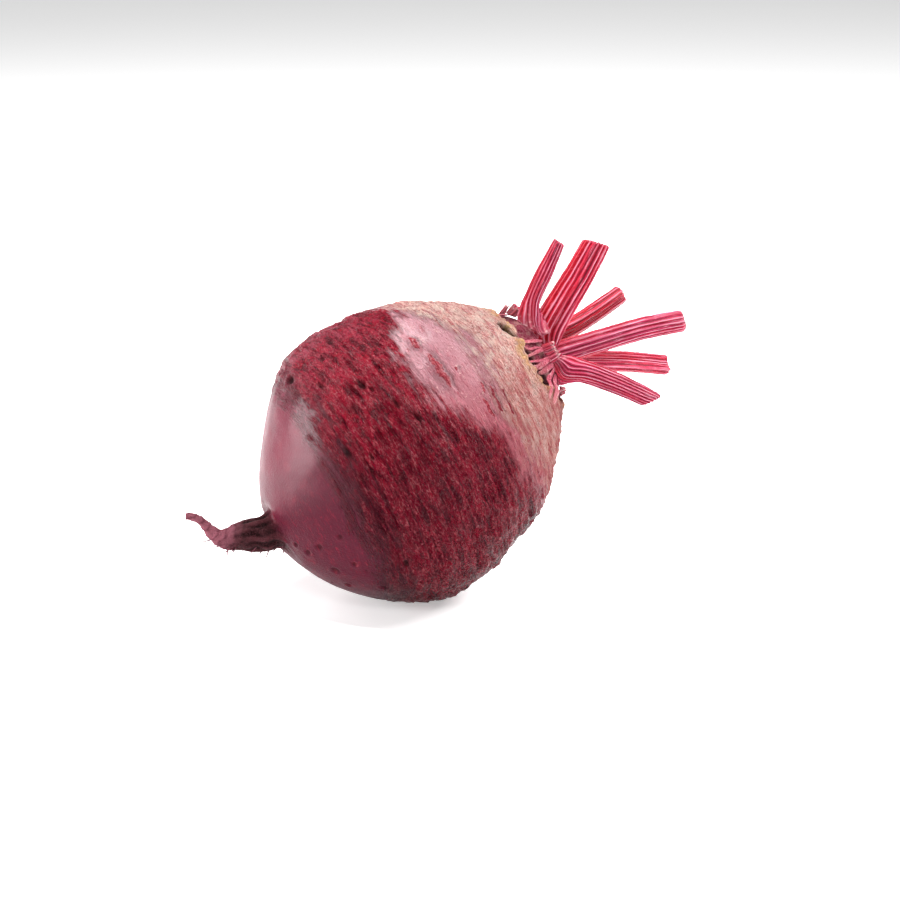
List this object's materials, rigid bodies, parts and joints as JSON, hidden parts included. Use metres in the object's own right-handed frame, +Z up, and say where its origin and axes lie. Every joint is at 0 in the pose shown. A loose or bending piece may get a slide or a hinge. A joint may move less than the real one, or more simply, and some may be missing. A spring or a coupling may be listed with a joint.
{
  "type": "beetroot",
  "caption": "Fresh beetroot lying on its side: a round bulb with a curled taproot and leaf stalks cut short, resting on a small flat spot.",
  "frame": {"origin": "on the surface it rests on, below the centre of its box", "axes": "+X from the taproot towards the crown and the leaf stalks, level; +Y towards the side turned away from the viewer; +Z up. The beet's own axis lies in the XZ plane, tilted 25 degrees up towards +X"},
  "size_m": [0.1604, 0.0862, 0.1038],
  "materials": {
    "beet_skin": "satin",
    "leaf_stalk": "satin",
    "leaf_stub": "matte"
  },
  "bodies": {
    "root": {"root": "beet_skin", "leaf_stalk_centre": "leaf_stalk", "leaf_stalk_long": "leaf_stalk", "leaf_stalk_far": "leaf_stalk", "leaf_stalk_low_far": "leaf_stalk", "leaf_stalk_top": "leaf_stalk", "leaf_stalk_low_near": "leaf_stalk", "leaf_stub_top": "leaf_stub", "leaf_stub_near": "leaf_stub", "leaf_stub_low_near": "leaf_stub", "leaf_stub_low": "leaf_stub", "leaf_stub_low_far": "leaf_stub", "leaf_stub_far": "leaf_stub", "leaf_stub_back": "leaf_stub", "leaf_stub_top_far": "leaf_stub"}
  },
  "joints": []
}
